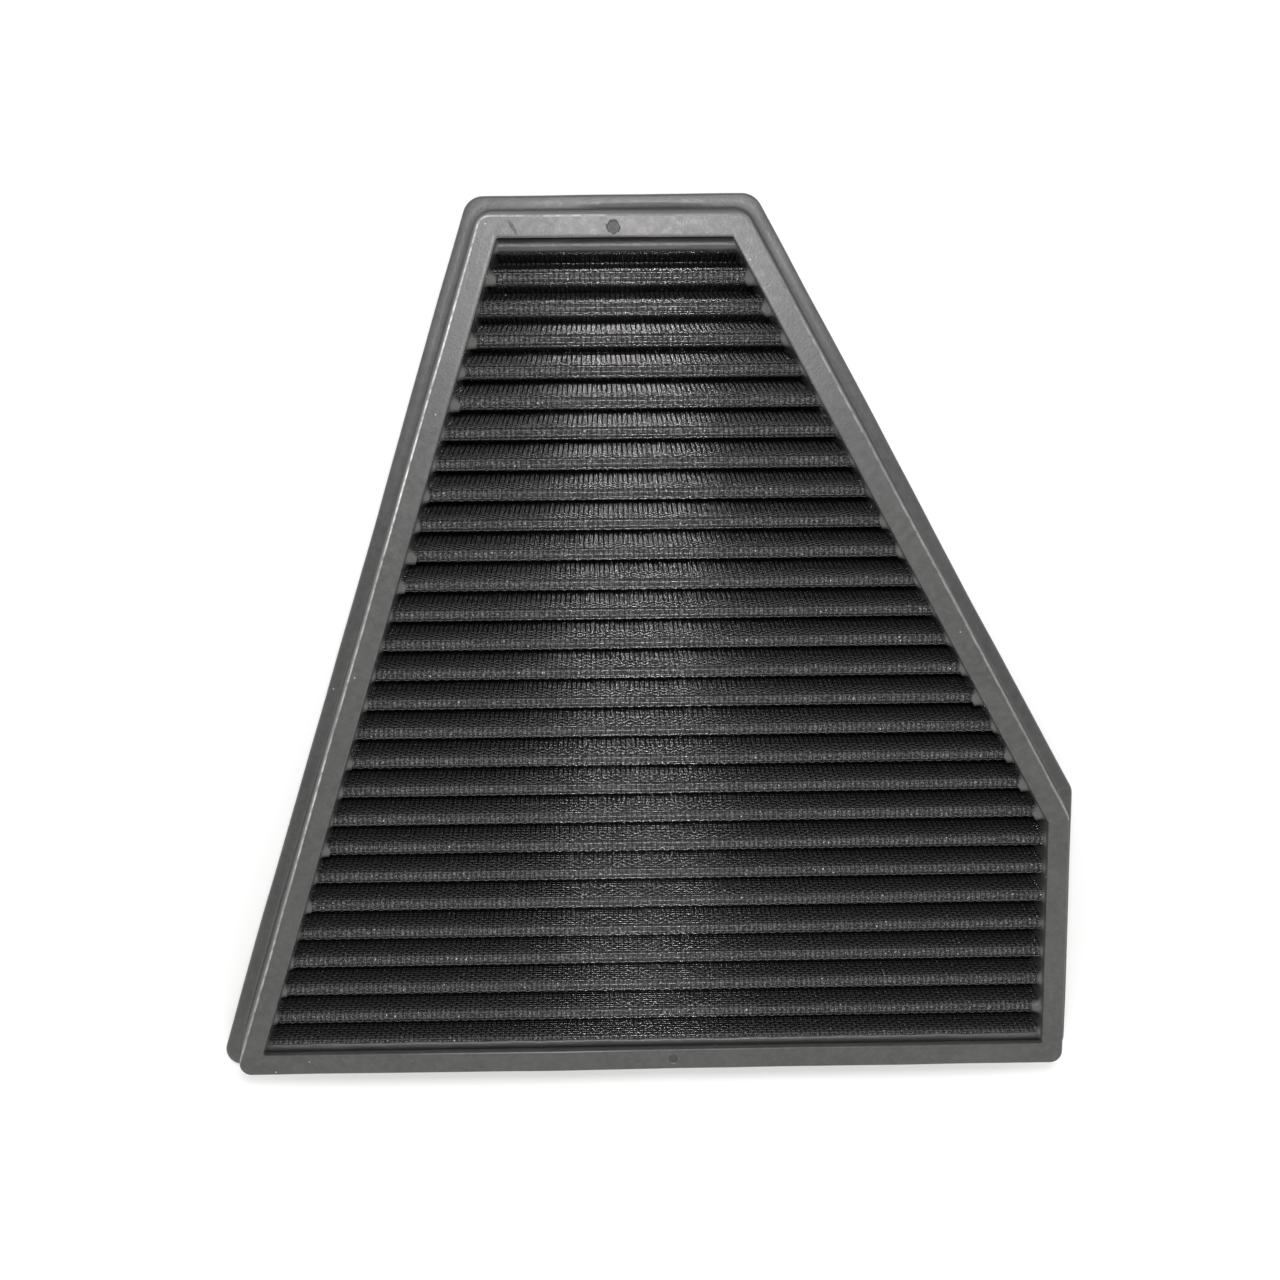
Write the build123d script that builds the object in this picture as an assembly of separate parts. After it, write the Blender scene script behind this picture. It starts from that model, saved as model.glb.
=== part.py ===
"""A flat panel air filter with a cast polyurethane frame, in millimetres.

The panel lies flat with its dirty side up. In plan it is a trapezium whose right side has a
short straight run beside the wide end. The frame is one soft casting: a drafted wall with a
sealing flange round its foot. The wall holds a pleated pack, whose folds run along X: an
outer wire screen, four plies of gauze and an inner wire screen. A smooth bead of sealant
closes the first and the last fold.

+Z is up, +Y points to the narrow end, and the origin is the centre of the underside.
"""
from build123d import *
import math
import os

# Plan of the frame's top face, measured over its outer edge
FRAME_LENGTH = 299.5
WIDE_WIDTH = 296.9
NARROW_WIDTH = 88.3
NARROW_INSET = 94.6
STRAIGHT_RUN = 91.2

# The frame's section
TOTAL_HEIGHT = 40.0
FLANGE_THICKNESS = 9.0
SIDE_BAND = 7.35
END_BAND = 7.45
WALL_DRAFT = 3.86
FLANGE_REACH = 8.75
LIP_DEPTH = 2.8

# Radii of the plan's corners, and of the section's edges. The flange is rounder at the
# narrow end; its corners start at the wide end's -X corner and go counter-clockwise.
TOP_CORNER = 4.3
FLANGE_CORNERS = (6.0, 6.0, 6.0, 7.7, 7.7)
OPENING_CORNER = 0.8
TOP_EDGE = 0.7
FLANGE_EDGE = 1.8

# The pleated pack
FOLDS = 28
PLEAT_PITCH = 10.374
FOLD_RADIUS = 1.15
SCREEN_THICKNESS = 0.5
PLY_THICKNESS = 0.25
PLIES = 4
POTTED_DEPTH = 4.2

# Round marks that the mould's locating pins leave in the top face: radius, depth, place
# in X, and the end of the frame they are at
PIN_MARKS = ((2.0, 1.6, -9.2, 1), (1.8, 0.3, 8.9, -1))

# The sealant bead on the first and the last fold: how far it reaches over the crown of the
# fold at each end, its thickness there, its drop at the frame's lip, the height of its foot
# over the middle of the fold, and how far short of the frame's sides it ends
BEAD_COVER = {1: 2.1, -1: 0.9}
BEAD_RISE = 0.35
BEAD_FALL = 1.3
BEAD_FOOT = 0.3
BEAD_GAP = 1.1

PACK_THICKNESS = 2 * SCREEN_THICKNESS + PLIES * PLY_THICKNESS
WALL_HEIGHT = TOTAL_HEIGHT - FLANGE_THICKNESS
HALF_LENGTH = FRAME_LENGTH / 2
HALF_PACK = PACK_THICKNESS / 2

# Heights of the arc centres at the top and bottom folds
FOLD_TOP_Z = TOTAL_HEIGHT - LIP_DEPTH - FOLD_RADIUS - HALF_PACK
FOLD_BOTTOM_Z = LIP_DEPTH + FOLD_RADIUS + HALF_PACK


def plan_corners():
    """The top face's sharp corners, counter-clockwise, before they are centred."""
    return [
        (0.0, -HALF_LENGTH),
        (WIDE_WIDTH, -HALF_LENGTH),
        (WIDE_WIDTH, STRAIGHT_RUN - HALF_LENGTH),
        (NARROW_INSET + NARROW_WIDTH, HALF_LENGTH),
        (NARROW_INSET, HALF_LENGTH),
    ]


def offset_corners(corners, offsets):
    """The corners after each side has moved outwards by its own offset."""
    count = len(corners)
    moved = []
    for i in range(count):
        lines = []
        for side in (i - 1, i):
            a = Vector(*corners[side % count])
            b = Vector(*corners[(side + 1) % count])
            along = (b - a).normalized()
            outward = Vector(along.Y, -along.X)
            lines.append((a + outward * offsets[side % count], along))
        (p, d), (q, e) = lines
        cross = d.X * e.Y - d.Y * e.X
        gap = q - p
        t = (gap.X * e.Y - gap.Y * e.X) / cross
        moved.append((p.X + d.X * t, p.Y + d.Y * t))
    return moved


def centre_shift():
    """How far the plan moves in X so that the flange's box is centred."""
    radius = FLANGE_CORNERS[0]
    inner = offset_corners(plan_corners(), [FLANGE_REACH - radius] * 5)
    left = inner[0][0] - radius
    right = WIDE_WIDTH + FLANGE_REACH
    return -(left + right) / 2


SHIFT = centre_shift()


def outline(side_offset, end_offset, radii):
    """The plan as a face, its sides moved outwards and its corners rounded."""
    offsets = [end_offset, side_offset, side_offset, end_offset, side_offset]
    corners = offset_corners(plan_corners(), offsets)
    corners = [(x + SHIFT, y) for x, y in corners]
    face = make_face(Polyline(*corners, close=True))
    for corner, radius in zip(corners, radii):
        nearest = face.vertices().sort_by_distance(Vector(*corner))[0]
        face = fillet(nearest, radius)
    return face


def prism(side_offset, end_offset, radii, low, high):
    """The plan as a solid from one height to another."""
    face = outline(side_offset, end_offset, radii)
    return Pos(0, 0, low) * extrude(face, high - low)


def flank_angle():
    """How far a flank leans from upright, in radians."""
    rise = FOLD_TOP_Z - FOLD_BOTTOM_Z
    centres = math.hypot(PLEAT_PITCH / 2, rise)
    return math.atan2(PLEAT_PITCH / 2, rise) - math.asin(2 * FOLD_RADIUS / centres)


LEAN = flank_angle()


def on_arc(y, z, radius, angle):
    """A point of the pack's YZ section, at an angle from +Y about an arc's centre."""
    return Vector(0, y + radius * math.cos(angle), z + radius * math.sin(angle))


def pleat_edges(offset):
    """The section's line at an offset above the pack's middle, from -Y to +Y."""
    edges = []
    last = None
    top_radius = FOLD_RADIUS + offset
    bottom_radius = FOLD_RADIUS - offset
    for fold in range(FOLDS):
        y = (fold - (FOLDS - 1) / 2) * PLEAT_PITCH
        left = math.pi - LEAN
        if fold == 0:
            last = on_arc(y - PLEAT_PITCH / 2, FOLD_BOTTOM_Z, bottom_radius, -LEAN)
        start = on_arc(y, FOLD_TOP_Z, top_radius, left)
        end = on_arc(y, FOLD_TOP_Z, top_radius, LEAN)
        crown = on_arc(y, FOLD_TOP_Z, top_radius, math.pi / 2)
        edges.append(Edge.make_line(last, start))
        edges.append(Edge.make_three_point_arc(start, crown, end))
        valley_y = y + PLEAT_PITCH / 2
        foot = on_arc(valley_y, FOLD_BOTTOM_Z, bottom_radius, math.pi + LEAN)
        edges.append(Edge.make_line(end, foot))
        last = foot
        if fold < FOLDS - 1:
            floor = on_arc(valley_y, FOLD_BOTTOM_Z, bottom_radius, -math.pi / 2)
            last = on_arc(valley_y, FOLD_BOTTOM_Z, bottom_radius, -LEAN)
            edges.append(Edge.make_three_point_arc(foot, floor, last))
    return edges


def pleated_layer(low, high):
    """A pleated sheet between two offsets, cut to the plan where the frame holds it."""
    under = pleat_edges(low)
    over = pleat_edges(high)
    ends = [
        Edge.make_line(under[0] @ 0, over[0] @ 0),
        Edge.make_line(under[-1] @ 1, over[-1] @ 1),
    ]
    section = Face(Wire(under + over + ends))
    half_width = WIDE_WIDTH / 2
    sheet = Pos(-half_width, 0, 0) * Solid.extrude(section, Vector(WIDE_WIDTH, 0, 0))
    side = POTTED_DEPTH - SIDE_BAND
    return sheet & prism(side, 0, [], 0, TOTAL_HEIGHT)


def layer_offsets():
    """Each layer's name with its lower and upper offset from the pack's middle."""
    layers = {}
    low = -HALF_PACK
    layers["inner_screen"] = (low, low + SCREEN_THICKNESS)
    low += SCREEN_THICKNESS
    for ply in range(PLIES, 0, -1):
        layers[f"gauze_ply_{ply}"] = (low, low + PLY_THICKNESS)
        low += PLY_THICKNESS
    layers["outer_screen"] = (low, low + SCREEN_THICKNESS)
    return layers


def frame_body():
    """The casting before the pack's slot is cut."""
    taper = math.degrees(math.atan2(WALL_DRAFT, WALL_HEIGHT))
    foot = outline(WALL_DRAFT, WALL_DRAFT, [TOP_CORNER + WALL_DRAFT] * 5)
    wall = extrude(Pos(0, 0, FLANGE_THICKNESS) * foot, WALL_HEIGHT, taper=taper)
    wall = fillet(wall.faces().sort_by(Axis.Z)[-1].edges(), TOP_EDGE)
    flange = prism(FLANGE_REACH, FLANGE_REACH, FLANGE_CORNERS, 0, FLANGE_THICKNESS)
    rims = flange.faces().sort_by(Axis.Z)
    flange = fillet(rims[-1].edges() + rims[0].edges(), FLANGE_EDGE)
    opening = prism(-SIDE_BAND, -END_BAND, [OPENING_CORNER] * 5, -1, TOTAL_HEIGHT + 1)
    body = wall + flange - opening
    for radius, depth, x, end in PIN_MARKS:
        y = end * (HALF_LENGTH - END_BAND / 2)
        top = Pos(x, y, TOTAL_HEIGHT - depth / 2)
        body -= top * Cylinder(radius, depth)
    return body


def cross_bar(y_from, y_to, low, high):
    """A bar along X between two places in Y and two heights."""
    size = (WIDE_WIDTH, abs(y_to - y_from), high - low)
    return Pos(0, (y_from + y_to) / 2, (low + high) / 2) * Box(*size)


def end_bead(end):
    """The bead over the last fold at one end (+1 or -1), down to the frame's lip."""
    fold_y = end * (FOLDS - 1) / 2 * PLEAT_PITCH
    lip_y = end * (HALF_LENGTH - END_BAND)
    radius = FOLD_RADIUS + HALF_PACK
    foot = FOLD_TOP_Z + BEAD_FOOT
    infill_top = FOLD_TOP_Z + radius - BEAD_FALL
    axis = Pos(0, fold_y, FOLD_TOP_Z) * Rot(0, 90, 0)
    cap = axis * Cylinder(radius + BEAD_RISE, WIDE_WIDTH)
    cap &= cross_bar(fold_y - end * BEAD_COVER[end], lip_y, foot, TOTAL_HEIGHT)
    bar = cap + cross_bar(fold_y, lip_y, foot, infill_top)
    bar -= axis * Cylinder(radius, WIDE_WIDTH + 2)
    return bar & prism(-SIDE_BAND - BEAD_GAP, -END_BAND, [], 0, TOTAL_HEIGHT)


def main():
    os.makedirs("parts", exist_ok=True)
    parts = {name: pleated_layer(*span) for name, span in layer_offsets().items()}
    pack = pleated_layer(-HALF_PACK, HALF_PACK)
    parts["frame_casting"] = frame_body() - pack
    parts["narrow_end_bead"] = end_bead(1)
    parts["wide_end_bead"] = end_bead(-1)
    for name, part in parts.items():
        export_step(part.solid(), f"parts/{name}.step")


main()
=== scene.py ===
"""The looks of the panel air filter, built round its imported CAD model.

Every size is in millimetres in the CAD's frame, and becomes metres where a mesh is made:
+Z is up out of the dirty side, +Y points to the narrow end, and the folds run along X.
"""

import math

import bmesh
import bpy
import numpy as np
from mathutils import Matrix, Vector


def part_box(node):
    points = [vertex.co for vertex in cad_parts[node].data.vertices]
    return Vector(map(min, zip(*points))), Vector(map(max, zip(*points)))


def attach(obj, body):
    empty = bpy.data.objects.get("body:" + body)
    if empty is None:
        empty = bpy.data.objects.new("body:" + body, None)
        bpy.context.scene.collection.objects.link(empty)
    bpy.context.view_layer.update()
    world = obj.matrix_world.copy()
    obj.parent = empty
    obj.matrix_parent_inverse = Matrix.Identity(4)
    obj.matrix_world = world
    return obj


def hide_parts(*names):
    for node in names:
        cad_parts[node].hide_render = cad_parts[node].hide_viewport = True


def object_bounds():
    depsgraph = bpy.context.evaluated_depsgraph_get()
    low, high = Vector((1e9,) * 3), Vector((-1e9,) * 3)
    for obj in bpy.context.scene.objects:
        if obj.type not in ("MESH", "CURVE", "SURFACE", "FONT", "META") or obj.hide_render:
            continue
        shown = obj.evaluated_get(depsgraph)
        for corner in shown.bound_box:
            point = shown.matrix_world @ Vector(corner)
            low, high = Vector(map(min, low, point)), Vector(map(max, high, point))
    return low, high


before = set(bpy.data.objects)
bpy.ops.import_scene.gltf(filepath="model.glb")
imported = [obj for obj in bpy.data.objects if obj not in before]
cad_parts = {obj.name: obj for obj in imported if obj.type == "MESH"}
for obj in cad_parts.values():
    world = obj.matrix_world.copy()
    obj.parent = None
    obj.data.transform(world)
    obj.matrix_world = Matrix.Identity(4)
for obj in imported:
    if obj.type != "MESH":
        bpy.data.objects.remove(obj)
CAD_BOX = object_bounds()

MM = 0.001
SEED = 7

# Plan of the frame's top face, over its outer edge
FRAME_LENGTH = 299.5
WIDE_WIDTH = 296.9
NARROW_WIDTH = 88.3
NARROW_INSET = 94.6
STRAIGHT_RUN = 91.2

# The frame's section: the bands are the top face's widths, and the draft and the reach are
# how far the wall's foot and the flange's rim lie outside the top face's outer edge
TOTAL_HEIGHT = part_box("frame_casting")[1][2] / MM
FLANGE_THICKNESS = 9.0
WALL_HEIGHT = TOTAL_HEIGHT - FLANGE_THICKNESS
SIDE_BAND = 7.35
END_BAND = 7.45
WALL_DRAFT = 3.86
FLANGE_REACH = 8.75

# The radii of the section's edges
OPENING_EDGE = 0.5
TOP_EDGE = 0.5
WALL_FILLET = 0.6
FLANGE_TOP_EDGE = 0.8
FLANGE_BOTTOM_EDGE = 1.6

# The radii of the plan's corners: the flange's start at the wide end's -X corner
OPENING_CORNER = 0.9
TOP_CORNER = 4.3
FOOT_CORNER = 8.1
FLANGE_CORNERS = (6.0, 6.0, 6.0, 7.7, 7.7)

# The pleated pack
FOLDS = 28
PLEAT_PITCH = 10.374
FOLD_RADIUS = 1.15
HALF_PACK = 1.0
FOLD_TOP_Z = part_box("outer_screen")[1][2] / MM - FOLD_RADIUS - HALF_PACK
FOLD_BOTTOM_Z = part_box("inner_screen")[0][2] / MM + FOLD_RADIUS + HALF_PACK

# The wire of the two screens: the warps follow the folds and the wefts run along them
WIRE_PITCH = 1.72
WARP_RADIUS = 0.22
WEFT_RADIUS = 0.16
SCREEN_OFFSET = 0.8

# How far from the folds that show the wires are woven, and the most faces in one piece
WOVEN_DEPTH = 8.0
PIECE_FACES = 90000

# The gauze that shows: its place above the pack's middle, and its threads in each metre
GAUZE_OFFSET = 0.28
GAUZE_THICKNESS = 0.12
GAUZE_THREADS = (2400.0, 2600.0)

# How far the screens and the gauze go into the frame on each side
BURIED = 3.0

HALF_LENGTH = FRAME_LENGTH / 2

# The mould's round pin marks in the top face: radius, depth, x, and the end (+1 is narrow)
PIN_MARKS = ((2.0, 1.5, -9.2, 1), (1.8, 0.42, 8.9, -1))
PIN_Y = HALF_LENGTH - END_BAND / 2 - 0.3

# Darker marks on the rubber: centre, half sizes, angle in degrees, and strength. The first
# is painted shade in the deep pin mark's recess, the second darkens the shallow pin mark at
# the wide end, the third is a scuff, and the fourth is a painted shadow along the wall's
# foot at the narrow end.
SCUFF_AND_PAINTED_SHADE_MARKS = (
    # painted shade in the deep pin mark
    ((-9.2, PIN_Y, TOTAL_HEIGHT - 1.5), (2.15, 2.15, 1.9), 0, 0.6),
    ((8.9, -PIN_Y, TOTAL_HEIGHT - 0.4), (1.9, 1.9, 1.0), 0, 0.35),
    ((-42.6, PIN_Y + 0.2, TOTAL_HEIGHT), (3.4, 0.75, 1.0), -60, 0.5),
    # a painted shadow along the wall's foot at the narrow end
    ((2.0, HALF_LENGTH + 4.6, FLANGE_THICKNESS), (26.0, 1.3, 2.5), 0, 0.5),
)


# ---------------------------------------------------------------- plan of the frame

def plan_corners():
    """The top face's sharp corners from the wide end's -X corner, counter-clockwise."""
    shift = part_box("frame_casting")[1][0] / MM - FLANGE_REACH - WIDE_WIDTH
    narrow = NARROW_INSET + NARROW_WIDTH
    corners = [
        (0.0, -HALF_LENGTH),
        (WIDE_WIDTH, -HALF_LENGTH),
        (WIDE_WIDTH, STRAIGHT_RUN - HALF_LENGTH),
        (narrow, HALF_LENGTH),
        (NARROW_INSET, HALF_LENGTH),
    ]
    return np.array(corners) + [shift, 0.0]


CORNERS = plan_corners()
SIDES = np.roll(CORNERS, -1, axis=0) - CORNERS
SIDE_LENGTHS = np.linalg.norm(SIDES, axis=1)
ALONG = SIDES / SIDE_LENGTHS[:, None]
OUTWARD = np.stack([ALONG[:, 1], -ALONG[:, 0]], axis=1)


def offset_corners(offset):
    """The plan's corners after every side has moved outwards by an offset."""
    moved = []
    for i in range(len(CORNERS)):
        before = i - 1
        normals = np.array([OUTWARD[before], OUTWARD[i]])
        reach = [normals[0] @ CORNERS[i] + offset, normals[1] @ CORNERS[i] + offset]
        moved.append(np.linalg.solve(normals, reach))
    return np.array(moved)


def plan_ring(offset, radii, spacing, steps):
    """Points round the plan at an offset, with rounded corners.

    Every ring has the same number of points, so that two rings can be joined: a corner has
    steps + 1 of them, and a side has one to each spacing. Also gives each point's outward
    direction.
    """
    corners = offset_corners(offset)
    points = []
    normals = []
    for i in range(len(corners)):
        before, after = OUTWARD[i - 1], OUTWARD[i]
        turn = math.acos(np.clip(before @ after, -1, 1))
        radius = max(radii[i], 0.05)
        centre = corners[i] - (before + after) / (1 + before @ after) * radius
        start = math.atan2(before[1], before[0])
        for k in range(steps + 1):
            angle = start + turn * k / steps
            normal = np.array([math.cos(angle), math.sin(angle)])
            points.append(centre + normal * radius)
            normals.append(normal)
        count = int(SIDE_LENGTHS[i] // spacing)
        following = (i + 1) % len(corners)
        normal = OUTWARD[following - 1]
        other = OUTWARD[following]
        radius = max(radii[following], 0.05)
        reach = (normal + other) / (1 + normal @ other) * radius
        end = corners[following] - reach + normal * radius
        first = points[-1]
        for k in range(1, count):
            points.append(first + (end - first) * k / count)
            normals.append(normal)
    return np.array(points), np.array(normals)


def x_span(y, offset):
    """Where a line along X at y meets the plan's outline, moved outwards by an offset."""
    corners = offset_corners(offset)
    left = corners[0] + (corners[4] - corners[0]) * np.interp(
        y, [corners[0][1], corners[4][1]], [0, 1])[..., None]
    right = np.interp(y, corners[1:4, 1], corners[1:4, 0])
    return left[..., 0], right


# ---------------------------------------------------------------- profile of the pleats

def flank_lean():
    """How far a flank leans from upright, in radians."""
    rise = FOLD_TOP_Z - FOLD_BOTTOM_Z
    centres = math.hypot(PLEAT_PITCH / 2, rise)
    return math.atan2(PLEAT_PITCH / 2, rise) - math.asin(2 * FOLD_RADIUS / centres)


LEAN = flank_lean()


class Profile:
    """The pleated line in the YZ plane at an offset above the pack's middle.

    It is made of runs, each a flank or an arc, and can be read at any length along it.
    """

    def __init__(self, offset):
        self.lengths = []
        self.runs = []
        top = FOLD_RADIUS + offset
        bottom = FOLD_RADIUS - offset
        sweep = math.pi - 2 * LEAN
        previous = None
        for fold in range(FOLDS):
            y = self.fold_y(fold)
            crest = np.array([y, FOLD_TOP_Z])
            valley = np.array([y + PLEAT_PITCH / 2, FOLD_BOTTOM_Z])
            if previous is None:
                previous = self.at(valley - [PLEAT_PITCH, 0], bottom, -LEAN)
            start = self.at(crest, top, math.pi - LEAN)
            end = self.at(crest, top, LEAN)
            foot = self.at(valley, bottom, math.pi + LEAN)
            self.add_line(previous, start)
            self.add_arc(crest, top, math.pi - LEAN, -sweep)
            self.add_line(end, foot)
            self.add_arc(valley, bottom, math.pi + LEAN, sweep)
            previous = self.at(valley, bottom, -LEAN)
        self.runs.pop()
        self.lengths.pop()
        self.starts = np.concatenate([[0], np.cumsum(self.lengths)])
        self.length = self.starts[-1]

    @staticmethod
    def fold_y(fold):
        return (fold - (FOLDS - 1) / 2) * PLEAT_PITCH

    @staticmethod
    def at(centre, radius, angle):
        return centre + radius * np.array([math.cos(angle), math.sin(angle)])

    def add_line(self, a, b):
        self.runs.append(("line", a, b))
        self.lengths.append(float(np.linalg.norm(b - a)))

    def add_arc(self, centre, radius, start, sweep):
        self.runs.append(("arc", centre, radius, start, sweep))
        self.lengths.append(abs(radius * sweep))

    def read(self, s):
        """The (y, z) point and the upward normal at a length along the line."""
        k = int(np.clip(np.searchsorted(self.starts, s, side="right") - 1, 0, len(self.runs) - 1))
        t = (s - self.starts[k]) / self.lengths[k]
        run = self.runs[k]
        if run[0] == "line":
            a, b = run[1:]
            tangent = (b - a) / self.lengths[k]
            return a + (b - a) * t, np.array([-tangent[1], tangent[0]])
        centre, radius, start, sweep = run[1:]
        angle = start + sweep * t
        out = np.array([math.cos(angle), math.sin(angle)])
        return centre + radius * out, out * (1 if sweep < 0 else -1)

    def sample(self, lengths):
        read = [self.read(s) for s in lengths]
        return np.array([p for p, n in read]), np.array([n for p, n in read])


# ---------------------------------------------------------------- making meshes

def add_mesh(name, points, faces, material, uvs=None):
    """A smooth mesh object from points in millimetres and faces of one size."""
    mesh = bpy.data.meshes.new(name)
    points = np.asarray(points, np.float32) * MM
    faces = np.asarray(faces, np.int32)
    size = faces.shape[1]
    mesh.vertices.add(len(points))
    mesh.vertices.foreach_set("co", points.ravel())
    mesh.loops.add(faces.size)
    mesh.loops.foreach_set("vertex_index", faces.ravel())
    mesh.polygons.add(len(faces))
    mesh.polygons.foreach_set("loop_start", np.arange(len(faces), dtype=np.int32) * size)
    mesh.polygons.foreach_set("use_smooth", np.full(len(faces), True))
    if uvs is not None:
        layer = mesh.uv_layers.new(name="Sheet")
        layer.data.foreach_set("uv", np.asarray(uvs, np.float32)[faces.ravel()].ravel())
    mesh.update(calc_edges=True)
    mesh.validate()
    mesh.materials.append(material)
    piece = bpy.data.objects.new(name, mesh)
    bpy.context.scene.collection.objects.link(piece)
    return piece


def grid_faces(rows, columns, closed_rows=False, closed_columns=False):
    """Quads over a grid of points that are numbered row by row."""
    r = np.arange(rows if closed_rows else rows - 1)
    c = np.arange(columns if closed_columns else columns - 1)
    r, c = np.meshgrid(r, c, indexing="ij")
    below = (r + 1) % rows
    beside = (c + 1) % columns
    quads = [r * columns + c, r * columns + beside, below * columns + beside,
             below * columns + c]
    return np.stack([q.ravel() for q in quads], axis=1)


def wave(t, wavelengths, amplitudes, rng):
    """A smooth irregular wave along t, as a sum of sines with seeded phases."""
    total = np.zeros_like(t, dtype=float)
    for wavelength, amplitude in zip(wavelengths, amplitudes):
        phase = rng.uniform(0, 2 * math.pi)
        total += amplitude * np.sin(t * 2 * math.pi / wavelength + phase)
    return total


# ---------------------------------------------------------------- materials

class Nodes:
    """A material's node tree, with short ways to add and join nodes."""

    def __init__(self, name, **constants):
        self.material = bpy.data.materials.new(name)
        self.material.use_nodes = True
        self.tree = self.material.node_tree
        self.shader = self.tree.nodes["Principled BSDF"]
        for socket, value in constants.items():
            self.shader.inputs[socket.replace("_", " ")].default_value = value

    def add(self, kind, inputs=None, **settings):
        node = self.tree.nodes.new(kind)
        for key, value in settings.items():
            setattr(node, key, value)
        for key, value in (inputs or {}).items():
            self.feed(value, node.inputs[key])
        return node

    def feed(self, value, socket):
        if isinstance(value, bpy.types.NodeSocket):
            self.tree.links.new(value, socket)
        else:
            socket.default_value = value

    def noise(self, vector, scale, detail=2.0, roughness=0.5):
        """Noise of a scale given in waves per metre."""
        inputs = {"Vector": vector, "Scale": scale, "Detail": detail, "Roughness": roughness}
        return self.add("ShaderNodeTexNoise", inputs).outputs["Fac"]

    def remap(self, value, low, high, to_low=0.0, to_high=1.0):
        inputs = {"Value": value, "From Min": low, "From Max": high, "To Min": to_low,
                  "To Max": to_high}
        return self.add("ShaderNodeMapRange", inputs, clamp=True).outputs["Result"]

    def math(self, operation, a, b=0.0):
        return self.add("ShaderNodeMath", {0: a, 1: b}, operation=operation).outputs[0]

    def blend(self, factor, a, b):
        """Colour a where the factor is 0, and colour b where it is 1."""
        node = self.add("ShaderNodeMix", data_type="RGBA")
        self.feed(factor, node.inputs[0])
        self.feed(a, node.inputs[6])
        self.feed(b, node.inputs[7])
        return node.outputs[2]

    def bump(self, height, distance, strength=1.0, under=None):
        inputs = {"Height": height, "Distance": distance, "Strength": strength}
        if under is not None:
            inputs["Normal"] = under
        return self.add("ShaderNodeBump", inputs).outputs["Normal"]

    def spot(self, vector, centre, size, angle):
        """1 inside an oval of given half sizes in millimetres, turned about Z, and 0 outside."""
        oval = self.add("ShaderNodeMapping", {
            "Vector": vector, "Location": [c * MM for c in centre],
            "Rotation": (0, 0, math.radians(angle)), "Scale": [c * MM for c in size],
        }, vector_type="TEXTURE")
        reach = self.add("ShaderNodeVectorMath", {0: oval.outputs[0]}, operation="LENGTH")
        return self.remap(reach.outputs["Value"], 0.7, 1.0, 1, 0)

    def output(self, **sockets):
        for socket, value in sockets.items():
            self.feed(value, self.shader.inputs[socket.replace("_", " ")])
        return self.material


def rubber_material():
    """Cast polyurethane: matte grey, finely grained, with flow marks, scuffs and white dust.

    The mesh says where the outer edge of the top face is, and where the walls are: the edge
    gets a painted highlight and the walls painted shade. Painted shade also darkens the deep
    pin mark and the wall's foot at the narrow end.
    """
    nodes = Nodes("frame_rubber", IOR=1.5)
    place = nodes.add("ShaderNodeTexCoord").outputs["Object"]
    edge = nodes.add("ShaderNodeAttribute", attribute_name="edge").outputs["Fac"]
    wall = nodes.add("ShaderNodeAttribute", attribute_name="wall").outputs["Fac"]
    mottle = nodes.noise(place, 55, 4, 0.6)
    cloud = nodes.noise(place, 350, 3, 0.6)
    grain = nodes.noise(place, 1300, 3, 0.7)
    fine = nodes.noise(place, 6500, 1)
    colour = nodes.blend(nodes.remap(mottle, 0.3, 0.7), (0.05, 0.0505, 0.05, 1),
                         (0.066, 0.0652, 0.0642, 1))
    colour = nodes.blend(nodes.remap(cloud, 0.4, 0.75, 0, 0.5), colour,
                         (0.088, 0.087, 0.086, 1))
    colour = nodes.blend(nodes.remap(grain, 0.42, 0.32, 0, 0.45), colour,
                         (0.028, 0.028, 0.029, 1))
    colour = nodes.blend(nodes.remap(grain, 0.58, 0.7, 0, 0.4), colour,
                         (0.11, 0.109, 0.108, 1))
    gloss = nodes.remap(wall, 0, 1, 0.5, 0.08)
    # The marks darken the rubber: painted shade in the deep pin mark and along the narrow end's
    # wall foot, a scuff, and the shallow pin mark
    for centre, size, angle, strength in SCUFF_AND_PAINTED_SHADE_MARKS:
        mark = nodes.math("MULTIPLY", nodes.spot(place, centre, size, angle), strength)
        colour = nodes.blend(mark, colour, (0.02, 0.02, 0.0205, 1))
        gloss = nodes.math("MULTIPLY", gloss, nodes.remap(mark, 0, 1, 1, 0.1))
    dust = nodes.add("ShaderNodeTexVoronoi", {"Vector": place, "Scale": 330.0}).outputs
    chance = nodes.add("ShaderNodeSeparateColor", {"Color": dust["Color"]}).outputs[0]
    speck = nodes.math("MULTIPLY", nodes.remap(dust["Distance"], 0.05, 0.11, 1, 0),
                       nodes.math("GREATER_THAN", chance, 0.95))
    colour = nodes.blend(nodes.math("MULTIPLY", speck, 0.75), colour, (0.5, 0.5, 0.49, 1))
    # Painted shade: the walls' colour is darkened towards near black
    colour = nodes.blend(nodes.math("MULTIPLY", wall, 0.4), colour, (0.03, 0.03, 0.0305, 1))
    # A painted highlight along the top face's outer edge
    shine = nodes.math("MULTIPLY", edge, nodes.remap(cloud, 0.35, 0.6, 0.3, 1.0))
    colour = nodes.blend(shine, colour, (0.65, 0.65, 0.64, 1))
    rough = nodes.remap(cloud, 0.3, 0.7, 0.3, 0.38)
    normal = nodes.bump(mottle, 0.0006, 0.25)
    normal = nodes.bump(grain, 0.00008, 0.6, normal)
    normal = nodes.bump(fine, 0.00003, 0.4, normal)
    return nodes.output(Base_Color=colour, Roughness=rough, Specular_IOR_Level=gloss,
                        Normal=normal)


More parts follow.
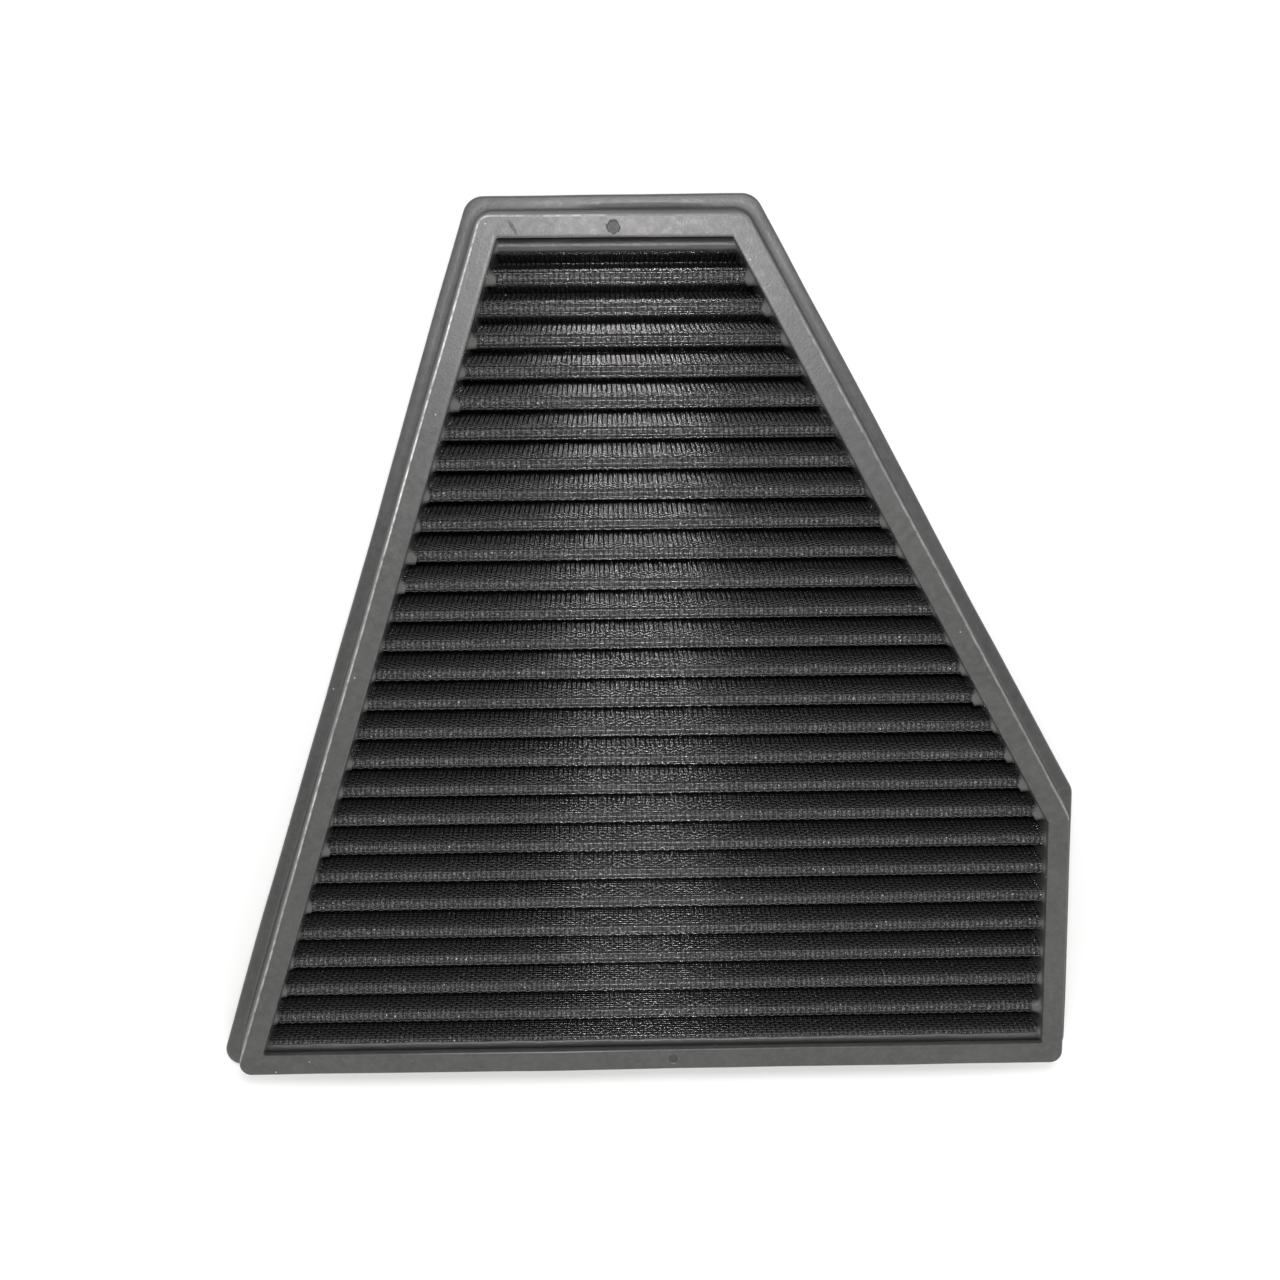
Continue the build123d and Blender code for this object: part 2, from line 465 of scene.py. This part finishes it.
def wire_material(name, shade, coat, low, high):
    """Black coated wire, a little uneven: its roughness lies between low and high."""
    nodes = Nodes(name, Base_Color=(shade, shade, shade * 1.03, 1), IOR=1.5,
                  Coat_Weight=coat, Coat_Roughness=0.12, Coat_IOR=1.7)
    place = nodes.add("ShaderNodeTexCoord").outputs["Object"]
    patch = nodes.noise(place, 900, 2)
    grain = nodes.noise(place, 9000, 1)
    normal = nodes.bump(grain, 0.00002, 0.5)
    return nodes.output(Roughness=nodes.remap(patch, 0.3, 0.7, low, high), Normal=normal)


def gauze_material():
    """Oiled black cotton gauze: fine threads, and paler tufts, which fade down the
    flanks as painted shade.
    """
    nodes = Nodes("gauze", IOR=1.5)
    coordinates = nodes.add("ShaderNodeUVMap", uv_map="Sheet").outputs[0]
    parts = nodes.add("ShaderNodeSeparateXYZ", {"Vector": coordinates}).outputs
    place = nodes.add("ShaderNodeTexCoord").outputs["Object"]
    waves = []
    for axis, threads in zip("XY", GAUZE_THREADS):
        turn = nodes.math("MULTIPLY", parts[axis], threads * 2 * math.pi)
        waves.append(nodes.remap(nodes.math("SINE", turn), -1, 1))
    weave = nodes.math("MAXIMUM", waves[0], waves[1])
    patch = nodes.noise(place, 160, 3, 0.6)
    fluff = nodes.noise(place, 1900, 2, 0.7)
    colour = nodes.blend(weave, (0.004, 0.004, 0.0045, 1), (0.022, 0.0215, 0.0225, 1))
    height = nodes.add("ShaderNodeSeparateXYZ", {"Vector": place}).outputs["Z"]
    # Painted shade: the tufts fade towards the folds' depths, which leaves the crests lighter
    crest_light = nodes.remap(height, (FOLD_TOP_Z - 3.0) * MM, (FOLD_TOP_Z + 1.0) * MM, 0.2, 1.0)
    tuft_and_crest_light = nodes.math("MULTIPLY", nodes.remap(fluff, 0.48, 0.6), crest_light)
    colour = nodes.blend(tuft_and_crest_light, colour, (0.14, 0.137, 0.141, 1))
    dust = nodes.add("ShaderNodeTexVoronoi", {"Vector": place, "Scale": 620.0}).outputs
    chance = nodes.add("ShaderNodeSeparateColor", {"Color": dust["Color"]}).outputs[0]
    speck = nodes.math("MULTIPLY", nodes.remap(dust["Distance"], 0.1, 0.2, 1, 0),
                       nodes.math("GREATER_THAN", chance, 0.72))
    colour = nodes.blend(speck, colour, (0.6, 0.6, 0.6, 1))
    rough = nodes.remap(patch, 0.3, 0.7, 0.6, 0.75)
    normal = nodes.bump(weave, 0.00005, 0.5)
    normal = nodes.bump(fluff, 0.00008, 0.4, normal)
    gloss = nodes.remap(tuft_and_crest_light, 0, 1, 0.15, 0.9)
    return nodes.output(Base_Color=colour, Roughness=rough, Specular_IOR_Level=gloss,
                        Normal=normal)


def sealant_material():
    """Smooth black sealant with a soft gloss and a few streaks along the bead."""
    nodes = Nodes("sealant", IOR=1.6)
    place = nodes.add("ShaderNodeTexCoord").outputs["Object"]
    stretch = nodes.add("ShaderNodeMapping", {"Vector": place, "Scale": (0.12, 1.0, 1.0)})
    streak = nodes.noise(stretch.outputs[0], 700, 3, 0.6)
    speckle = nodes.noise(place, 2600, 2, 0.7)
    colour = nodes.blend(nodes.remap(streak, 0.3, 0.7), (0.022, 0.022, 0.022, 1),
                         (0.045, 0.045, 0.044, 1))
    rough = nodes.remap(speckle, 0.3, 0.7, 0.32, 0.5)
    normal = nodes.bump(streak, 0.0003, 0.5)
    normal = nodes.bump(speckle, 0.00006, 0.6, normal)
    return nodes.output(Base_Color=colour, Roughness=rough, Normal=normal)


def floor_material():
    nodes = Nodes("floor_paint", Roughness=0.9, Specular_IOR_Level=0.2)
    place = nodes.add("ShaderNodeTexCoord").outputs["Object"]
    tone = nodes.remap(nodes.noise(place, 3, 2), 0.3, 0.7, 0.0, 1.0)
    colour = nodes.blend(tone, (0.9, 0.9, 0.9, 1), (0.92, 0.92, 0.92, 1))
    return nodes.output(Base_Color=colour)


# ---------------------------------------------------------------- the frame

def lofted_section():
    """The frame's section from inside its lip round to the same place.

    Each entry is an outward offset from the top face's edge, a depth below the top, and the
    name of the part of the frame it belongs to, where the rubber's looks depend on it.
    """
    section = []

    def bend(offset, depth, radius, start, end, steps, part=""):
        """A rounded edge about a centre, with angles in degrees from outward, up."""
        for k in range(steps + 1):
            angle = math.radians(start + (end - start) * k / steps)
            section.append((offset + radius * math.cos(angle),
                            depth - radius * math.sin(angle), part))

    inside = -SIDE_BAND + OPENING_EDGE
    bend(inside, OPENING_EDGE, OPENING_EDGE, 180, 90, 4)
    for share in (0.2, 0.4, 0.6, 0.8):
        section.append((-SIDE_BAND * (1 - share), 0.0, ""))
    section.append((-TOP_EDGE - 0.12, 0.0, ""))

    draft = math.degrees(math.atan2(WALL_DRAFT, WALL_HEIGHT))
    bend(-TOP_EDGE, TOP_EDGE, TOP_EDGE, 90, draft, 6, "edge")
    for share in (0.04, 0.12, 0.25, 0.4, 0.55, 0.7, 0.82, 0.92):
        section.append((WALL_DRAFT * share, WALL_HEIGHT * share, "wall"))
    bend(WALL_DRAFT + WALL_FILLET, WALL_HEIGHT - WALL_FILLET, WALL_FILLET, 180 + draft, 270, 4)
    section.append((WALL_DRAFT + 2.2, WALL_HEIGHT, ""))

    rim = FLANGE_TOP_EDGE
    bend(FLANGE_REACH - rim, WALL_HEIGHT + rim, rim, 90, 0, 5)
    section.append((FLANGE_REACH, WALL_HEIGHT + FLANGE_THICKNESS / 2, ""))
    rim = FLANGE_BOTTOM_EDGE
    bend(FLANGE_REACH - rim, TOTAL_HEIGHT - rim, rim, 0, -90, 5)

    for share in (0.15, 0.35, 0.6, 0.85):
        section.append((FLANGE_REACH - rim - (FLANGE_REACH + SIDE_BAND - rim) * share,
                        TOTAL_HEIGHT, ""))
    bend(inside, TOTAL_HEIGHT - OPENING_EDGE, OPENING_EDGE, 270, 180, 4)
    # The inner wall's rows lie closer together where the ends of the folds meet it.
    for depth in (38, 37, 36.2, 35, 33, 29, 24, 19, 14, 10.5, 8, 6.3, 5.2, 4.4, 3.7, 3.1,
                  2.75, 2.4, 1.9, 1.2):
        section.append((-SIDE_BAND, depth, ""))
    return section


def corner_radii(offset, depth):
    """The plan's corner radii at a place in the section.

    They grow with the offset, except on the flange, whose radii run from the wall's foot to
    its rim and, on the underside, from the rim to the opening.
    """
    if offset < -SIDE_BAND + OPENING_EDGE + 0.1:
        return [OPENING_CORNER] * 5
    if depth <= WALL_HEIGHT - 0.2:
        return [max(TOP_CORNER + offset, OPENING_CORNER)] * 5
    reach = (offset - WALL_DRAFT) / (FLANGE_REACH - WALL_DRAFT)
    reach = min(max(reach, 0.0), 1.0)
    radii = [FOOT_CORNER + (r - FOOT_CORNER) * reach for r in FLANGE_CORNERS]
    if depth > TOTAL_HEIGHT - 0.01:
        rim = FLANGE_REACH - FLANGE_BOTTOM_EDGE
        inwards = min((rim - offset) / (rim + SIDE_BAND), 1.0)
        radii = [r + (OPENING_CORNER - r) * inwards for r in radii]
    return radii


def potting(points, depth, creeps):
    """How far the casting creeps inwards along the ends of the folds, in millimetres.

    creeps says how far it went over each fold's end on the -X and on the +X side.
    """
    y = points[:, 1]
    fold = np.round(y / PLEAT_PITCH - 0.5) + 0.5
    beside = np.abs(y - fold * PLEAT_PITCH)
    number = np.clip(fold + (FOLDS - 1) / 2, 0, FOLDS - 1).astype(int)
    most = creeps[number, (points[:, 0] > 0).astype(int)]
    z = TOTAL_HEIGHT - depth
    radius = FOLD_RADIUS + HALF_PACK
    if z > FOLD_TOP_Z:
        rise = z - FOLD_TOP_Z
        reach = np.hypot(beside, rise) - radius
    elif z > FOLD_BOTTOM_Z:
        most = 0.75
        reach = beside - radius - (FOLD_TOP_Z - z) * math.tan(LEAN)
    else:
        return np.zeros(len(y))
    fade = 0.75 if z < FOLD_TOP_Z else 0.45
    creep = most * np.exp(-np.clip(reach, 0, None) / fade)
    return np.where(np.abs(y) < HALF_LENGTH - END_BAND - 0.3, creep, 0)


def build_frame(material):
    """The casting: its section carried round the plan, a little uneven all the way."""
    rng = np.random.default_rng(SEED)
    section = lofted_section()
    rings = []
    for offset, depth, part in section:
        points, normals = plan_ring(offset, corner_radii(offset, depth), spacing=0.8, steps=10)
        rings.append((offset, depth, points, normals))
    path = np.concatenate([[0], np.cumsum(np.linalg.norm(np.diff(rings[0][2], axis=0), axis=1))])
    total = path[-1]
    around = [total / n for n in (2, 3, 5, 9, 17, 31)]
    lip_out = wave(path, around, (0.05, 0.06, 0.07, 0.05, 0.03, 0.02), rng)
    lip_up = wave(path, around, (0.04, 0.05, 0.05, 0.04, 0.02, 0.01), rng)
    rim_out = wave(path, around, (0.12, 0.14, 0.12, 0.08, 0.04, 0.02), rng)
    rim_up = wave(path, around, (0.10, 0.12, 0.10, 0.08, 0.05, 0.03), rng)
    creeps = 1.0 + 3.0 * rng.uniform(0, 1, (FOLDS, 2)) ** 2
    vertices = []
    # The lip's waves turn into the rim's down the wall, and both lie a little inside the
    # CAD's faces. The underside stays flat.
    for offset, depth, points, normals in rings:
        underside = depth > TOTAL_HEIGHT - 0.6
        flange = np.clip((depth - WALL_HEIGHT * 0.6) / (WALL_HEIGHT * 0.4), 0, 1)
        if underside:
            flange = 0.35
        out = lip_out * (1 - flange) + (rim_out - 0.2) * flange
        up = lip_up * (1 - flange) - 0.25 * (1 - flange) + (rim_up - 0.1) * flange
        if offset < -SIDE_BAND + 0.1:
            out = out * 0.4 - potting(points, depth, creeps)
            up = 0 * up
        if underside:
            up = 0 * up
        place = points + normals * np.asarray(out)[:, None]
        vertices.append(np.column_stack([place, TOTAL_HEIGHT - depth + up]))
    rows, columns = len(rings), len(rings[0][2])
    faces = grid_faces(rows, columns, closed_rows=True, closed_columns=True)
    piece = add_mesh("frame_moulding", np.concatenate(vertices), faces[:, ::-1], material)
    ripple = 1 + wave(path, around, (0.1, 0.2, 0.2, 0.2, 0.2, 0.1), rng)
    # The edge values are the painted highlight on the top edge; the wall values mark the walls,
    # which are painted darker.
    mark_parts(piece, section, {"edge": painted_edge_highlight(*rings[0][2:]) * ripple,
                                "wall": np.ones(columns)})
    return piece


def painted_edge_highlight(points, normals):
    """How strong the painted highlight on the top edge is round the plan: most at the -X side and
    its narrow corner.
    """
    facing = normals @ np.array([-0.9, 0.44])
    highlight = np.interp(facing, (-0.6, 0.2, 0.7), (0.22, 0.1, 0.85)) * (normals[:, 1] > 0.05)
    return highlight * np.interp(points[:, 1], (-HALF_LENGTH, HALF_LENGTH), (0.35, 1))


def mark_parts(piece, section, values):
    """Gives each named part of the section its values round the plan, and 0 elsewhere."""
    for name, around in values.items():
        shares = [around * (part == name) for _, _, part in section]
        layer = piece.data.attributes.new(name, "FLOAT", "POINT")
        layer.data.foreach_set("value", np.concatenate(shares))


def sink_pin_marks(piece):
    """The round marks of the mould's locating pins, cut into the top face."""
    for radius, depth, x, end in PIN_MARKS:
        y = end * PIN_Y
        mesh = bpy.data.meshes.new("pin_cutter")
        cutter = bmesh.new()
        bmesh.ops.create_cone(cutter, cap_ends=True, segments=48, radius1=radius * 0.9 * MM,
                              radius2=radius * 1.04 * MM, depth=(depth + 1) * MM)
        cutter.to_mesh(mesh)
        cutter.free()
        tool = bpy.data.objects.new("pin_cutter", mesh)
        tool.location = (x * MM, y * MM, (TOTAL_HEIGHT - depth + (depth + 1) / 2) * MM)
        bpy.context.scene.collection.objects.link(tool)
        cut = piece.modifiers.new("pin_mark", "BOOLEAN")
        cut.operation = "DIFFERENCE"
        cut.solver = "EXACT"
        cut.object = tool
        bpy.context.view_layer.update()
        apply_modifiers(piece)
        bpy.data.objects.remove(tool)


def apply_modifiers(piece):
    graph = bpy.context.evaluated_depsgraph_get()
    mesh = bpy.data.meshes.new_from_object(piece.evaluated_get(graph))
    old = piece.data
    piece.modifiers.clear()
    piece.data = mesh
    bpy.data.meshes.remove(old)


# ---------------------------------------------------------------- wire screens

class TubeMesh:
    """Many wires as four-sided tubes, split into pieces of a workable size."""

    def __init__(self, name, radius, material):
        self.name = name
        self.radius = radius
        self.material = material
        self.points = []
        self.faces = []
        self.count = 0
        self.face_count = 0
        self.pieces = []

    def add(self, line, across, up):
        """A wire through points, with two directions square to it at each point."""
        offsets = [across, up, -across, -up]
        rings = np.stack([line + side * self.radius for side in offsets], axis=1)
        faces = grid_faces(len(line), 4, closed_columns=True)
        ends = np.array([[0, 1, 2, 3], [4 * len(line) - k for k in (1, 2, 3, 4)]])
        faces = np.concatenate([faces, ends])
        self.points.append(rings.reshape(-1, 3))
        self.faces.append(faces + self.count)
        self.count += len(line) * 4
        self.face_count += len(faces)
        if self.face_count > PIECE_FACES:
            self.close()

    def close(self):
        if not self.points:
            return
        name = f"{self.name}_{len(self.pieces) + 1}"
        piece = add_mesh(name, np.concatenate(self.points), np.concatenate(self.faces),
                         self.material)
        self.pieces.append(piece)
        self.points, self.faces = [], []
        self.count = self.face_count = 0


def wire_stations(profile, side):
    """Lengths along the profile: where it crosses the wefts, and where its hidden folds turn.

    Also says which crossings are woven: those near the folds that show from the screen's
    own side, +1 for the dirty side and -1 for the clean side.
    """
    crossings = np.arange(0.5 * WIRE_PITCH, profile.length, WIRE_PITCH)
    places, _ = profile.sample(crossings)
    if side > 0:
        woven = places[:, 1] > FOLD_TOP_Z - WOVEN_DEPTH
    else:
        woven = places[:, 1] < FOLD_BOTTOM_Z + WOVEN_DEPTH
    turns = []
    for start, length, run in zip(profile.starts, profile.lengths, profile.runs):
        hidden = run[0] == "arc" and (run[4] > 0) == (side > 0)
        if hidden:
            turns += [start, start + length / 2, start + length]
    return crossings, woven, np.array(turns)


class Screen:
    """The lines of one screen's wires: side is +1 for the dirty side's, -1 for the other's."""

    def __init__(self, side):
        self.side = side
        self.rng = np.random.default_rng(SEED + side)
        self.profile = Profile(side * SCREEN_OFFSET)
        self.crossings, self.woven, self.turns = wire_stations(self.profile, side)
        self.lift = (WARP_RADIUS + WEFT_RADIUS) / 2
        self.wobble = wave(self.crossings, (190, 61, 23), (0.10, 0.06, 0.04), self.rng)
        low, high = x_span(np.array(-HALF_LENGTH), -SIDE_BAND)
        numbers = np.arange(math.ceil(low / WIRE_PITCH), math.floor(high / WIRE_PITCH) + 1)
        self.warp_x = numbers * WIRE_PITCH
        self.parity = np.arange(len(numbers)) % 2

    def add_warps(self, tubes):
        """The wires that follow the folds."""
        station = np.concatenate([self.crossings[self.woven], self.turns])
        over = np.where(np.nonzero(self.woven)[0] % 2, 1.0, -1.0)
        sign = np.concatenate([over, np.zeros(len(self.turns))])
        order = np.argsort(station)
        station, sign = station[order], sign[order]
        line, up = self.profile.sample(station)
        sway = np.interp(station, self.crossings, self.wobble)
        left, right = x_span(line[:, 0], BURIED - SIDE_BAND)
        for x, odd in zip(self.warp_x, self.parity):
            inside = (x > left) & (x < right)
            if inside.sum() < 4:
                continue
            rise = sign[inside] * (1 if odd else -1) * self.lift
            rise = np.where(sign[inside] == 0, self.side * self.lift, rise)
            yz = line[inside] + up[inside] * rise[:, None]
            drift = 0.05 * math.sin(x * 0.21 + self.side)
            points = np.column_stack([x + sway[inside] + drift, yz])
            ups = np.column_stack([np.zeros(len(yz)), up[inside]])
            tubes.add(points, np.array([1.0, 0, 0]), ups)
        tubes.close()

    def add_wefts(self, tubes):
        """The wires that run along the folds: straight ones have a point near each end too."""
        places, normals = self.profile.sample(self.crossings)
        left, right = x_span(places[:, 0], BURIED - SIDE_BAND)
        for j in range(len(self.crossings)):
            (y, z), (ny, nz) = places[j], normals[j]
            up = np.array([0, ny, nz])
            along = np.array([0, nz, -ny])
            if self.woven[j]:
                keep = (self.warp_x > left[j]) & (self.warp_x < right[j])
                x = self.warp_x[keep] + self.wobble[j]
                rise = np.where(self.parity[keep], -1.0, 1.0) * (1 if j % 2 else -1) * self.lift
            else:
                x = np.array([left[j], left[j] + 1, right[j] - 1, right[j]])
                rise = np.full(4, -self.side * self.lift)
            if len(x) < 2:
                continue
            slack = wave(x, (83, 37), (0.04, 0.03), self.rng)
            points = np.column_stack([x, np.full(len(x), y), np.full(len(x), z)])
            points = points + up * rise[:, None] + along * slack[:, None]
            tubes.add(points, along, np.tile(up, (len(x), 1)))
        tubes.close()


def build_screen(name, side, warp_material, weft_material):
    screen = Screen(side)
    warps = TubeMesh(name + "_warps", WARP_RADIUS, warp_material)
    wefts = TubeMesh(name + "_wefts", WEFT_RADIUS, weft_material)
    screen.add_warps(warps)
    screen.add_wefts(wefts)
    return warps.pieces + wefts.pieces


# ---------------------------------------------------------------- gauze

def build_gauze(name, side, material):
    """The gauze ply that lies against a screen, as a thin pleated cloth."""
    rng = np.random.default_rng(SEED + 20 + side)
    profile = Profile(side * GAUZE_OFFSET)
    lengths = []
    for start, length, run in zip(profile.starts, profile.lengths, profile.runs):
        steps = 8 if run[0] == "arc" else 6
        lengths += list(start + length * np.arange(steps) / steps)
    lengths = np.array(lengths + [profile.length])
    line, up = profile.sample(lengths)
    left, right = x_span(line[:, 0], BURIED - SIDE_BAND)
    columns = 150
    across = np.linspace(0, 1, columns)
    x = left[:, None] + (right - left)[:, None] * across
    ripple = np.zeros_like(x)
    waves = ((0.03, 47, 113), (0.02, 19, 41), (0.02, 9, 260))
    for (height, long_x, long_s), phase in zip(waves, rng.uniform(0, 6, 3)):
        turn = x * 2 * math.pi / long_x + lengths[:, None] * 2 * math.pi / long_s
        ripple += height * np.sin(turn + phase)
    y = line[:, 0][:, None] + up[:, 0][:, None] * ripple
    z = line[:, 1][:, None] + up[:, 1][:, None] * ripple
    points = np.stack([x, y, z], axis=2).reshape(-1, 3)
    uvs = np.stack([x, np.repeat(lengths[:, None], columns, axis=1)], axis=2) * MM
    faces = grid_faces(len(lengths), columns)
    piece = add_mesh(name, points, faces[:, ::-1], material, uvs=uvs.reshape(-1, 2))
    thick = piece.modifiers.new("thickness", "SOLIDIFY")
    thick.thickness = GAUZE_THICKNESS * MM
    thick.offset = -side
    bpy.context.view_layer.update()
    apply_modifiers(piece)
    return piece


# ---------------------------------------------------------------- sealant beads

def build_bead(name, end, cover, material):
    """The smooth bead over the last fold at one end, which runs down to the frame's lip.

    end is +1 at the narrow end, and cover is how far over the fold it goes, in degrees.
    """
    rng = np.random.default_rng(SEED + 40 + end)
    fold_y = (FOLDS - 1) / 2 * PLEAT_PITCH
    lip_y = HALF_LENGTH - END_BAND + 0.4
    radius = FOLD_RADIUS + HALF_PACK
    low, high = x_span(np.array(end * fold_y), -SIDE_BAND + 0.4)
    x = np.linspace(low, high, 220)
    edge = wave(x, (31, 17, 7, 3.4), (0.10, 0.08, 0.07, 0.05), rng)
    swell = wave(x, (97, 43, 15), (0.05, 0.04, 0.02), rng)
    first = math.radians(8)
    rows = []
    for part in np.linspace(0, 1, 12):
        angle = first + part * (np.radians(cover) + edge / radius - first)
        thick = 0.32 * np.sin(np.clip((1 - part) * 6, 0, math.pi / 2)) + 0.02 + swell * 0.5
        reach = radius + thick
        rows.append((fold_y + reach * np.cos(angle), FOLD_TOP_Z + reach * np.sin(angle)))
    lip = FOLD_TOP_Z + 0.5 + swell
    rows.insert(0, (np.full(len(x), lip_y), lip))
    bottom = FOLD_TOP_Z - 1.2
    rows.insert(0, (np.full(len(x), lip_y), np.full(len(x), bottom)))
    rows.append((np.full(len(x), fold_y), np.full(len(x), bottom)))
    points = [np.column_stack([x, end * y, z]) for y, z in rows]
    faces = grid_faces(len(rows), len(x), closed_rows=True)
    count = len(x)
    caps = [[r * count for r in range(len(rows))],
            [r * count + count - 1 for r in reversed(range(len(rows)))]]
    if end < 0:
        faces = faces[:, ::-1]
        caps = [c[::-1] for c in caps]
    piece = add_mesh(name, np.concatenate(points), faces, material)
    shell = bmesh.new()
    shell.from_mesh(piece.data)
    shell.verts.ensure_lookup_table()
    for cap in caps:
        shell.faces.new([shell.verts[i] for i in cap])
    bmesh.ops.recalc_face_normals(shell, faces=shell.faces)
    shell.to_mesh(piece.data)
    shell.free()
    return piece


# ---------------------------------------------------------------- studio

def build_studio():
    """A plain pale floor, one softbox, and a sky that is bright all round but dim overhead.

    The dim part keeps the depths of the folds black.
    """
    floor = bpy.data.meshes.new("studio_floor")
    shape = bmesh.new()
    bmesh.ops.create_grid(shape, x_segments=1, y_segments=1, size=6.0)
    shape.to_mesh(floor)
    shape.free()
    floor.materials.append(floor_material())
    ground = bpy.data.objects.new("studio_floor", floor)
    ground.location = (0, 0, CAD_BOX[0][2] - 0.2 * MM)
    bpy.context.scene.collection.objects.link(ground)

    world = bpy.data.worlds.new("studio")
    bpy.context.scene.world = world
    world.use_nodes = True
    tree = world.node_tree
    sky = tree.nodes["Background"]
    sky.inputs["Color"].default_value = (0.99, 1.0, 0.985, 1)
    direction = tree.nodes.new("ShaderNodeTexCoord")
    height = tree.nodes.new("ShaderNodeSeparateXYZ")
    fade = tree.nodes.new("ShaderNodeMapRange")
    fade.inputs["From Min"].default_value = 0.75
    fade.inputs["From Max"].default_value = 1.0
    fade.inputs["To Min"].default_value = 1.34
    fade.inputs["To Max"].default_value = 0.25
    tree.links.new(direction.outputs["Generated"], height.inputs[0])
    tree.links.new(height.outputs["Z"], fade.inputs["Value"])
    tree.links.new(fade.outputs["Result"], sky.inputs["Strength"])

    add_softbox("key_light", place=(0.006, 0.175, 0.66), target=(0.0, 0.03, 0.0),
                size=(0.1, 0.06), power=2.15, colour=(1.0, 0.97, 0.99))


def add_softbox(name, place, target, size, power, colour):
    light = bpy.data.lights.new(name, "AREA")
    light.shape = "RECTANGLE"
    light.size, light.size_y = size
    light.energy = power
    light.color = colour
    lamp = bpy.data.objects.new(name, light)
    lamp.location = place
    towards = Vector(target) - Vector(place)
    lamp.rotation_euler = towards.to_track_quat("-Z", "Y").to_euler()
    bpy.context.scene.collection.objects.link(lamp)


def add_camera():
    """The camera looks down at the top face from a little beyond the narrow end's side."""
    tilt, lean, roll = 0.17286, 0.01694, 0.01243
    distance = 631.0
    aside, along = 2.25, -6.63
    focal, sensor, pixels = 1830.0, 36.0, 1280
    turn = (Matrix.Rotation(roll, 3, "Z") @ Matrix.Rotation(lean, 3, "Y")
            @ Matrix.Rotation(tilt, 3, "X")).transposed()
    middle = Vector((CORNERS[0][0] + WIDE_WIDTH / 2, 0, TOTAL_HEIGHT))
    place = middle + turn @ Vector((-aside, -along, distance))
    data = bpy.data.cameras.new("camera")
    data.sensor_width = sensor
    data.lens = focal / pixels * sensor
    data.clip_start = 0.01
    camera = bpy.data.objects.new("camera", data)
    camera.matrix_world = Matrix.Translation(place * MM) @ turn.to_4x4()
    bpy.context.scene.collection.objects.link(camera)
    bpy.context.scene.camera = camera


def stand_in(piece, slot, *nodes):
    """Puts a piece on the CAD's body, and hides the nodes it replaces. slot is not used."""
    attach(piece, "root")
    if nodes:
        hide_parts(*nodes)


def main():
    rubber = rubber_material()
    # Warps and wefts share one coating: the warps' colour is painted darker, as shade, and the
    # wefts' paler, as a painted glint
    warp = wire_material("warp_wire", 0.006, 0.0, 0.45, 0.6)
    weft = wire_material("weft_wire", 0.025, 1.0, 0.18, 0.3)
    gauze = gauze_material()
    sealant = sealant_material()

    moulding = build_frame(rubber)
    sink_pin_marks(moulding)
    stand_in(moulding, "frame_rubber", "frame_casting")
    for name, side in (("outer_screen", 1), ("inner_screen", -1)):
        for piece in build_screen(name, side, warp, weft):
            stand_in(piece, "coated_wire", name)
    stand_in(build_gauze("outer_gauze", 1, gauze), "gauze", "gauze_ply_1", "gauze_ply_2")
    stand_in(build_gauze("inner_gauze", -1, gauze), "gauze", "gauze_ply_3", "gauze_ply_4")
    stand_in(build_bead("narrow_bead", 1, 170, sealant), "sealant", "narrow_end_bead")
    stand_in(build_bead("wide_bead", -1, 115, sealant), "sealant", "wide_end_bead")

    build_studio()
    add_camera()
    bpy.context.scene.view_settings.view_transform = "Standard"


main()
